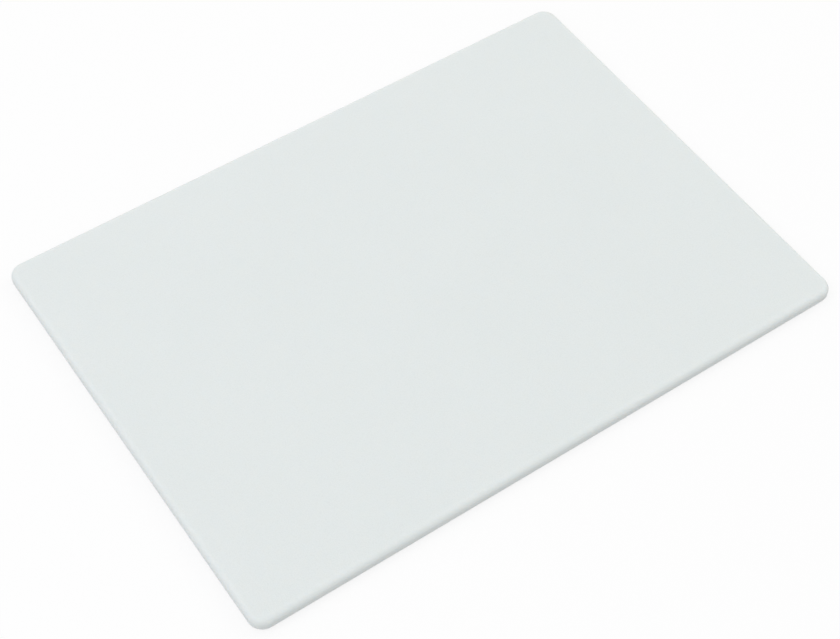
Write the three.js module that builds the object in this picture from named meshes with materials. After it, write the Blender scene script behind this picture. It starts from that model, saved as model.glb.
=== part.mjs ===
// A plain rectangular kitchen cutting board, cut from one solid slab of white polyethylene.
// Millimetres, +Z up. The origin is the middle of the underside, +X runs along the board's length
// and +Y points away from the cook. Both faces are alike, so the board can be turned over.
import * as THREE from "three";

// Driving dimensions of the slab.
const LENGTH = 350; // the long way, along X
const WIDTH = 250; // the short way, along Y
const THICKNESS = 8;
const CORNER_RADIUS = 8; // the four corners, seen from above
const EDGE_RADIUS = 3; // the round-over along the rim of each face
const LEAST_FLAT = 0.5; // the narrowest flat that a round-over leaves on the wall or round a corner

// How finely the curves are faceted.
const CORNER_FACETS = 16; // round each quarter-turn corner
const EDGE_FACETS = 8; // across each quarter-round rim

// Natural white polyethylene: a cool off-white with a satin face.
const POLYETHYLENE = new THREE.MeshStandardMaterial({
  color: 0xe4e9e8,
  roughness: 0.5,
  metalness: 0,
});

// A rectangle centred on the origin, with its corners drawn as quarter arcs.
function roundedRectangle(length, width, radius) {
  const middleX = length / 2 - radius;
  const middleY = width / 2 - radius;
  const quarter = Math.PI / 2;
  return new THREE.Shape()
    .absarc(middleX, middleY, radius, 0, quarter)
    .absarc(-middleX, middleY, radius, quarter, 2 * quarter)
    .absarc(-middleX, -middleY, radius, 2 * quarter, 3 * quarter)
    .absarc(middleX, -middleY, radius, 3 * quarter, 4 * quarter)
    .closePath();
}

// The slab: its outline is extruded to the wall between the two rims, and a round bevel of equal
// height and depth turns each rim in to the flat face. The bevel is taken off the outline, so the
// board keeps its full length and width at the wall.
function makeBoard() {
  const edgeRadius = Math.min(
    EDGE_RADIUS,
    CORNER_RADIUS - LEAST_FLAT,
    (THICKNESS - LEAST_FLAT) / 2,
  );
  const geometry = new THREE.ExtrudeGeometry(roundedRectangle(LENGTH, WIDTH, CORNER_RADIUS), {
    depth: THICKNESS - 2 * edgeRadius,
    curveSegments: CORNER_FACETS / 2, // an arc is drawn with two facets to a curve segment
    bevelThickness: edgeRadius,
    bevelSize: edgeRadius,
    bevelOffset: -edgeRadius,
    bevelSegments: EDGE_FACETS,
  });
  const board = new THREE.Mesh(geometry, POLYETHYLENE);
  board.name = "board";
  board.position.z = edgeRadius; // the lower bevel reaches below the extrusion, down to the worktop
  return board;
}

const cuttingBoard = new THREE.Group();
cuttingBoard.name = "cutting_board";
cuttingBoard.add(makeBoard());

export default cuttingBoard;
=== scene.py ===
# A plain white polyethylene cutting board, dressed and lit for the camera.
# Metres, +Z up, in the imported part's own frame: the origin is the middle of the underside, +X runs
# along the board's length and +Y points away from the cook.
import math

import bpy
from mathutils import Matrix, Vector


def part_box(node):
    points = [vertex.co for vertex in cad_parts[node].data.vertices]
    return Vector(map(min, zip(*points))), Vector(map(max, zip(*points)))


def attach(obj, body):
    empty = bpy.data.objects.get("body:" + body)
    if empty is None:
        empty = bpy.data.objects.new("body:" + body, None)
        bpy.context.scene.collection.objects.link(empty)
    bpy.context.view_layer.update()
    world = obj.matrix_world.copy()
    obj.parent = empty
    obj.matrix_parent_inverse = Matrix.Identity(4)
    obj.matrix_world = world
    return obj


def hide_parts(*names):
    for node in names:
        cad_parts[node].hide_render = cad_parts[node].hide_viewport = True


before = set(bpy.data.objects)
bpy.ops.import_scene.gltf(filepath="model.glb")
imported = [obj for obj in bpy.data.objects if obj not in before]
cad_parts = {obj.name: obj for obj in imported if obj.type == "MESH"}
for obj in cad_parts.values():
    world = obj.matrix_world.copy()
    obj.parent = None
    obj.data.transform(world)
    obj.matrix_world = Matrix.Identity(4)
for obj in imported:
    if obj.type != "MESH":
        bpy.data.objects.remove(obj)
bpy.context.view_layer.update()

# The slab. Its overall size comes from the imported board, and its radii are those of the solid.
BOARD_LOW, BOARD_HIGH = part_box("board")
LENGTH, WIDTH, THICKNESS = BOARD_HIGH - BOARD_LOW
CORNER_RADIUS = 0.008  # the four corners, seen from above
RIM_RADIUS = 0.003  # the round-over along the rim of each face

# How finely the slab is meshed. Each face has a grid that reaches out to the centres of the corners.
CELL = 0.006  # about one square of the grid
GRID_X = LENGTH / 2 - CORNER_RADIUS
GRID_Y = WIDTH / 2 - CORNER_RADIUS
COLUMNS = round(2 * GRID_X / CELL)
ROWS = round(2 * GRID_Y / CELL)
CORNER_STEPS = 24  # round each quarter-turn corner
RIM_STEPS = 12  # across each quarter-round rim
WALL_STEPS = 3  # up the flat wall between the two rims
FLAT_BORDER = 0.0004  # a narrow border that keeps each face flat up to its rim
RIM_SHARE = "rim_share"  # the mesh attribute that is 0 on a face and 1 on the wall

# The flat map that an export bakes the plastic on: the slab's upper half above its lower half.
BAKE_MAP = "OFBake"
MAP_ROOM = 0.012  # what each half gets beyond its width, for its unrolled edge and a gap
MAP_SIDE = 2 * (WIDTH + MAP_ROOM)
UPPER_MIDDLE = Vector((0.5, 0.75))  # where the middles of the halves lie on the map
LOWER_MIDDLE = Vector((0.5, 0.25))

# Natural white polyethylene: milky and satin, with faint clouds in its colour.
WHITE = (0.784, 0.822, 0.814)
CLOUD_WHITE = (0.768, 0.808, 0.80)  # the same white in the clouds
CLOUD_SIZE = 0.07
CLOUD_DETAIL = 3.0
GLOW_DEPTH = 0.0015  # how far light travels in the milky plastic between two turns
GLOW_TINT = (1.0, 0.94, 0.88)  # red light goes a little further in than blue
REFRACTION = 1.54

# The faces' fine pebble grain. Its pattern runs from 0 on a pebble to about 0.8 in a hollow.
GRAIN_SIZE = 0.0006
GRAIN_SOFTNESS = 0.7  # how gently one pebble runs into the next
GRAIN_MIDDLE = 0.47  # the pattern's mean
GRAIN_DEPTH = 0.00002  # how deep one unit of the pattern goes
GRAIN_PAINTED_SHADE = 0.06  # painted shade: how much darker one unit of the pattern makes the plastic, darker in the hollows and lighter on the pebbles' tops, standing in for the shade that falls in the hollows
SMOOTHEST, ROUGHEST = 0.50, 0.60  # the roughness at 0 and at 1 of the pattern

# The fine level lines that the edge cutter leaves round the rim.
LINE_PITCH = 0.0003
LINE_RUN = 0.03  # how far a line runs before it fades into the next
LINE_DEPTH = 0.000003
LINE_DETAIL = 2.0

# The photograph's camera: a long lens that looks down across the near left corner.
SENSOR_WIDTH = 36.0  # in millimetres, as is the lens
LENS = 78.38
CAMERA_AIM = Vector((-0.0152, -0.0221, THICKNESS))
CAMERA_AZIMUTH = math.radians(-35.07)  # zero looks along +Y
CAMERA_ELEVATION = math.radians(53.42)
CAMERA_DISTANCE = 0.9306
CAMERA_ROLL = math.radians(0.94)

# The studio: soft square lamps, each as azimuth and elevation in degrees, power and colour, and
# light from all round.
LAMPS = {
    "right": (90, 40, 6.4, (1.0, 0.98, 0.9)),
    "left": (-90, 50, 9.7, (0.93, 0.92, 1.0)),
    "back": (180, 60, 2.9, (1.0, 1.0, 1.0)),
}
LAMP_DISTANCE = 2.2  # from the board's middle
LAMP_SIDE = 1.2
AMBIENT = 0.735  # the strength of the light from all round

# The white floor.
FLOOR_REACH = 6.0
FLOOR_GAP = 0.0001  # keeps the floor and the board's underside out of one plane
FLOOR_WHITE = (0.95, 0.95, 0.95)  # the floor as it is seen
FLOOR_GREY = (0.7, 0.7, 0.7)  # the floor as it throws light back up at the board
FLOOR_NEAR, FLOOR_FAR = 0.35, 1.2  # the floor melts into the background between these distances
NEAR_GLOW = 0.8  # the share of plain background white in the floor beside the board

PURE_WHITE = (1.0, 1.0, 1.0, 1.0)
BLACK = (0.0, 0.0, 0.0, 1.0)


def walk_round():
    """One anticlockwise lap of the plan, as (column, row, direction): the node of the face's grid that
    each step of the outline lies out from, and which way out that is."""
    quarter = math.pi / 2
    corners = [(COLUMNS, 0), (COLUMNS, ROWS), (0, ROWS), (0, 0)]
    sides = [
        [(COLUMNS, row) for row in range(1, ROWS)],
        [(column, ROWS) for column in reversed(range(1, COLUMNS))],
        [(0, row) for row in reversed(range(1, ROWS))],
        [(column, 0) for column in range(1, COLUMNS)],
    ]
    lap = []
    for turn, (corner, side) in enumerate(zip(corners, sides)):
        start = (turn - 1) * quarter
        for step in range(CORNER_STEPS + 1):
            lap.append((*corner, start + quarter * step / CORNER_STEPS))
        for node in side:
            lap.append((*node, start + quarter))
    return lap


def rim_profile():
    """The slab's edge from the upper face down to the lower one, as (inset, height, rim share)."""
    profile = [(RIM_RADIUS + FLAT_BORDER, THICKNESS, 0.0)]
    for step in range(RIM_STEPS + 1):
        tilt = math.pi / 2 * step / RIM_STEPS
        inset = RIM_RADIUS * (1 - math.sin(tilt))
        profile.append((inset, THICKNESS - RIM_RADIUS * (1 - math.cos(tilt)), math.sin(tilt)))
    upper_half = list(profile)
    wall = THICKNESS - 2 * RIM_RADIUS
    for step in range(1, WALL_STEPS):
        profile.append((0.0, THICKNESS - RIM_RADIUS - wall * step / WALL_STEPS, 1.0))
    for inset, height, share in reversed(upper_half):
        profile.append((inset, THICKNESS - height, share))
    return profile


def grid_place(column, row):
    """Where a node of the face's grid lies in plan."""
    return GRID_X * (2 * column / COLUMNS - 1), GRID_Y * (2 * row / ROWS - 1)


def grid_places():
    """Where all the nodes of a face's grid lie in plan, column by column."""
    return [grid_place(column, row) for column in range(COLUMNS + 1) for row in range(ROWS + 1)]


def ring_places(lap, reach):
    """Where a ring's points lie in plan, at a reach out from their nodes of the grid."""
    places = []
    for column, row, direction in lap:
        x, y = grid_place(column, row)
        places.append((x + reach * math.cos(direction), y + reach * math.sin(direction)))
    return places


def board_points(lap, profile):
    """The slab's points and their rim shares: both grids, then a ring for each step of the profile."""
    points = []
    for height in (THICKNESS, 0.0):
        points += [(*place, height) for place in grid_places()]
    shares = [0.0] * len(points)
    for inset, height, share in profile:
        points += [(*place, height) for place in ring_places(lap, CORNER_RADIUS - inset)]
        shares += [share] * len(lap)
    return points, shares


def board_faces(lap, rings):
    """The slab's faces, by the numbers of their points: both grids, their borders and the edge."""
    nodes = (COLUMNS + 1) * (ROWS + 1)
    last = rings - 1

    def upper(column, row):
        return column * (ROWS + 1) + row

    def lower(column, row):
        return nodes + upper(column, row)

    def ring(level, step):
        return 2 * nodes + level * len(lap) + step % len(lap)

    faces = []
    for column in range(COLUMNS):
        for row in range(ROWS):
            square = [(column, row), (column + 1, row), (column + 1, row + 1), (column, row + 1)]
            faces.append([upper(*node) for node in square])
            faces.append([lower(*node) for node in reversed(square)])
    for step, (column, row, _) in enumerate(lap):
        next_column, next_row, _ = lap[(step + 1) % len(lap)]
        border = [(column, row)]
        if (next_column, next_row) != (column, row):
            border.insert(0, (next_column, next_row))
        upper_border = [upper(*node) for node in border]
        lower_border = [lower(*node) for node in reversed(border)]
        faces.append(upper_border + [ring(0, step), ring(0, step + 1)])
        faces.append(lower_border + [ring(last, step + 1), ring(last, step)])
        for level in range(last):
            faces.append([
                ring(level, step),
                ring(level + 1, step),
                ring(level + 1, step + 1),
                ring(level, step + 1),
            ])
    return faces


def unrolled_reaches(profile):
    """How far out each ring lies once the edge is unrolled flat, beginning at the upper face."""
    reaches = [CORNER_RADIUS - profile[0][0]]
    for (inset, height, _), (next_inset, next_height, _) in zip(profile, profile[1:]):
        reaches.append(reaches[-1] + math.hypot(next_inset - inset, next_height - height))
    return reaches


def unrolled_places(lap, reaches):
    """Where the slab's points lie in plan once the edge is unrolled flat to these reaches."""
    places = 2 * grid_places()
    for reach in reaches:
        places += ring_places(lap, reach)
    return places


def add_bake_map(mesh, lap, profile):
    """Lays out the slab's upper and lower halves on the map, with a seam along the wall."""
    reaches = unrolled_reaches(profile)
    upper_places = unrolled_places(lap, reaches)
    lower_places = unrolled_places(lap, reversed(reaches))
    upper_half = [UPPER_MIDDLE + Vector((x, y)) / MAP_SIDE for x, y in upper_places]
    lower_half = [LOWER_MIDDLE + Vector((-x, y)) / MAP_SIDE for x, y in lower_places]  # from below
    layer = mesh.uv_layers.new(name=BAKE_MAP)
    for face in mesh.polygons:
        is_upper = any(mesh.vertices[point].co.z > THICKNESS / 2 for point in face.vertices)
        half = upper_half if is_upper else lower_half
        for corner, point in zip(face.loop_indices, face.vertices):
            layer.uv[corner].vector = half[point]


def board_mesh():
    """A closed slab: a square grid on each face, joined by rings that follow the rim's profile."""
    lap = walk_round()
    profile = rim_profile()
    points, shares = board_points(lap, profile)
    mesh = bpy.data.meshes.new("board_slab")
    mesh.from_pydata(points, [], board_faces(lap, len(profile)))
    mesh.attributes.new(RIM_SHARE, "FLOAT", "POINT").data.foreach_set("value", shares)
    mesh.shade_smooth()
    add_bake_map(mesh, lap, profile)
    return mesh


def new_tree(owner):
    """The owner's emptied node tree."""
    owner.use_nodes = True
    owner.node_tree.nodes.clear()
    return owner.node_tree


def add_node(tree, kind, inputs=(), **settings):
    """A node with its settings and the inputs that are given: a value is set and a socket is linked."""
    node = tree.nodes.new(kind)
    for name, value in settings.items():
        setattr(node, name, value)
    for name, value in dict(inputs).items():
        if isinstance(value, bpy.types.NodeSocket):
            tree.links.new(value, node.inputs[name])
        else:
            node.inputs[name].default_value = value
    return node


def add_maths(tree, operation, first, second, clamp=False):
    """The result of one sum on two numbers or sockets."""
    inputs = {0: first, 1: second}
    return add_node(tree, "ShaderNodeMath", inputs, operation=operation, use_clamp=clamp).outputs[0]


def mix_colours(tree, share, first, second, clamp=True):
    """A blend of two colours or sockets, which is the first one where the share is 0."""
    inputs = {"Factor": share, "A": first, "B": second}
    mix = add_node(tree, "ShaderNodeMix", inputs, data_type="RGBA", clamp_factor=clamp)
    return mix.outputs["Result"]


def cloudy_white(tree, place):
    """The plastic's colour: two close whites in faint clouds."""
    inputs = {"Vector": place, "Scale": 1 / CLOUD_SIZE, "Detail": CLOUD_DETAIL}
    clouds = add_node(tree, "ShaderNodeTexNoise", inputs)
    return mix_colours(tree, clouds.outputs["Fac"], (*WHITE, 1.0), (*CLOUD_WHITE, 1.0))


def pebble_grain(tree, place):
    """The grain's pattern: how far a point lies from the top of the nearest pebble."""
    inputs = {"Vector": place, "Scale": 1 / GRAIN_SIZE, "Smoothness": GRAIN_SOFTNESS}
    return add_node(tree, "ShaderNodeTexVoronoi", inputs, feature="SMOOTH_F1").outputs["Distance"]


def cutter_lines(tree, place):
    """The cutter lines' pattern: noise that is drawn out along the rim."""
    stretch = (1 / LINE_RUN, 1 / LINE_RUN, 1 / LINE_PITCH)
    stretched = add_node(tree, "ShaderNodeMapping", {"Vector": place, "Scale": stretch})
    inputs = {"Vector": stretched.outputs["Vector"], "Scale": 1.0, "Detail": LINE_DETAIL}
    return add_node(tree, "ShaderNodeTexNoise", inputs).outputs["Fac"]


def polyethylene():
    """Milky white plastic, with pebble grain on the faces, painted shade in the grain's hollows and
    painted light on its pebbles, and cutter lines on the rim.
    """
    material = bpy.data.materials.new("polyethylene")
    tree = new_tree(material)
    place = add_node(tree, "ShaderNodeTexCoord").outputs["Object"]
    rim = add_node(tree, "ShaderNodeAttribute", attribute_name=RIM_SHARE).outputs["Fac"]
    face = add_maths(tree, "SUBTRACT", 1.0, rim)

    grain = pebble_grain(tree, place)
    hollow = add_maths(tree, "SUBTRACT", grain, GRAIN_MIDDLE)
    face_hollow = add_maths(tree, "MULTIPLY", hollow, face)
    grain_drop = add_maths(tree, "MULTIPLY", face_hollow, GRAIN_DEPTH)
    line_height = add_maths(tree, "MULTIPLY", cutter_lines(tree, place), LINE_DEPTH)
    rim_height = add_maths(tree, "MULTIPLY", line_height, rim)
    height = add_maths(tree, "SUBTRACT", rim_height, grain_drop)
    relief = add_node(tree, "ShaderNodeBump", {"Height": height, "Distance": 1.0, "Strength": 1.0})

    # Painted shade: the plastic's colour is darkened in the grain's hollows and lightened on the
    # pebbles' tops, standing in for the shade that falls in the hollows.
    painted_hollow_shade = add_maths(tree, "MULTIPLY", face_hollow, GRAIN_PAINTED_SHADE)
    colour = mix_colours(tree, painted_hollow_shade, cloudy_white(tree, place), BLACK, clamp=False)
    roughness_range = {"Value": grain, "To Min": SMOOTHEST, "To Max": ROUGHEST}
    roughness = add_node(tree, "ShaderNodeMapRange", roughness_range)
    plastic = add_node(
        tree,
        "ShaderNodeBsdfPrincipled",
        {
            "Base Color": colour,
            "Roughness": roughness.outputs["Result"],
            "Normal": relief.outputs["Normal"],
            "IOR": REFRACTION,
            "Subsurface Weight": 1.0,
            "Subsurface Radius": GLOW_TINT,
            "Subsurface Scale": GLOW_DEPTH,
        },
    )
    add_node(tree, "ShaderNodeOutputMaterial", {"Surface": plastic.outputs["BSDF"]})
    return material


def seen_directly(tree):
    """1 for the camera's rays and those that a shiny or clear surface sends on, and otherwise 0."""
    path = add_node(tree, "ShaderNodeLightPath").outputs
    seen = add_maths(tree, "ADD", path["Is Camera Ray"], path["Is Glossy Ray"], clamp=True)
    return add_maths(tree, "ADD", seen, path["Is Transmission Ray"], clamp=True)


def floor_white():
    """White floor paint that takes the board's shadow and melts into the background further out."""
    material = bpy.data.materials.new("floor_white")
    tree = new_tree(material)
    place = add_node(tree, "ShaderNodeTexCoord").outputs["Object"]
    distance = add_node(tree, "ShaderNodeVectorMath", {0: place}, operation="LENGTH").outputs["Value"]
    glow = add_node(
        tree,
        "ShaderNodeMapRange",
        {"Value": distance, "From Min": FLOOR_NEAR, "From Max": FLOOR_FAR, "To Min": NEAR_GLOW},
        interpolation_type="SMOOTHSTEP",
    )
    seen = seen_directly(tree)
    share = add_maths(tree, "MULTIPLY", glow.outputs["Result"], seen)
    colour = mix_colours(tree, seen, (*FLOOR_GREY, 1.0), (*FLOOR_WHITE, 1.0))
    paint = add_node(tree, "ShaderNodeBsdfDiffuse", {"Color": colour})
    background = add_node(tree, "ShaderNodeEmission", {"Color": PURE_WHITE, "Strength": 1.0})
    surface = add_node(
        tree,
        "ShaderNodeMixShader",
        {0: share, 1: paint.outputs["BSDF"], 2: background.outputs["Emission"]},
    )
    add_node(tree, "ShaderNodeOutputMaterial", {"Surface": surface.outputs["Shader"]})
    return material


def make_floor():
    """A square floor under the board."""
    mesh = bpy.data.meshes.new("floor")
    corners = [(-1, -1), (1, -1), (1, 1), (-1, 1)]
    points = [(FLOOR_REACH * x, FLOOR_REACH * y, -FLOOR_GAP) for x, y in corners]
    mesh.from_pydata(points, [], [(0, 1, 2, 3)])
    mesh.materials.append(floor_white())
    floor = bpy.data.objects.new("floor", mesh)
    bpy.context.collection.objects.link(floor)


def make_board():
    """The dressed slab, which stands for the solid board."""
    mesh = board_mesh()
    mesh.materials.append(polyethylene())
    board = bpy.data.objects.new("board_slab", mesh)
    bpy.context.collection.objects.link(board)
    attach(board, "root")
    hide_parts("board")


def make_world():
    """A white background, which lights the board softly from all round."""
    world = bpy.data.worlds.new("studio")
    tree = new_tree(world)
    strength = add_maths(tree, "MAXIMUM", seen_directly(tree), AMBIENT)
    background = add_node(tree, "ShaderNodeBackground", {"Color": PURE_WHITE, "Strength": strength})
    add_node(tree, "ShaderNodeOutputWorld", {"Surface": background.outputs["Background"]})
    bpy.context.scene.world = world


def direction_to(azimuth, elevation):
    """The unit vector from the board towards a place round it: azimuth zero is on the -Y side."""
    level = math.cos(elevation)
    return Vector((math.sin(azimuth) * level, -math.cos(azimuth) * level, math.sin(elevation)))


def aim_from(thing, target, towards, distance, roll=0.0):
    """Puts a lamp or camera at a distance from its target and turns it to look back at it."""
    turn = (-towards).to_track_quat("-Z", "Y").to_matrix().to_4x4()
    place = Matrix.Translation(target + distance * towards)
    thing.matrix_world = place @ turn @ Matrix.Rotation(roll, 4, "Z")


def make_lamps():
    """The studio's soft square lamps."""
    middle = (BOARD_LOW + BOARD_HIGH) / 2
    for name, (azimuth, elevation, power, colour) in LAMPS.items():
        lamp = bpy.data.lights.new(name, "AREA")
        lamp.size = LAMP_SIDE
        lamp.energy = power
        lamp.color = colour
        holder = bpy.data.objects.new(name, lamp)
        bpy.context.collection.objects.link(holder)
        towards = direction_to(math.radians(azimuth), math.radians(elevation))
        aim_from(holder, middle, towards, LAMP_DISTANCE)


def make_camera():
    """The photograph's view."""
    data = bpy.data.cameras.new("camera")
    data.sensor_width = SENSOR_WIDTH
    data.lens = LENS
    camera = bpy.data.objects.new("camera", data)
    bpy.context.collection.objects.link(camera)
    towards = direction_to(CAMERA_AZIMUTH, CAMERA_ELEVATION)
    aim_from(camera, CAMERA_AIM, towards, CAMERA_DISTANCE, CAMERA_ROLL)
    bpy.context.scene.camera = camera


make_camera()
make_board()
make_floor()
make_world()
make_lamps()
bpy.context.scene.view_settings.view_transform = "Standard"
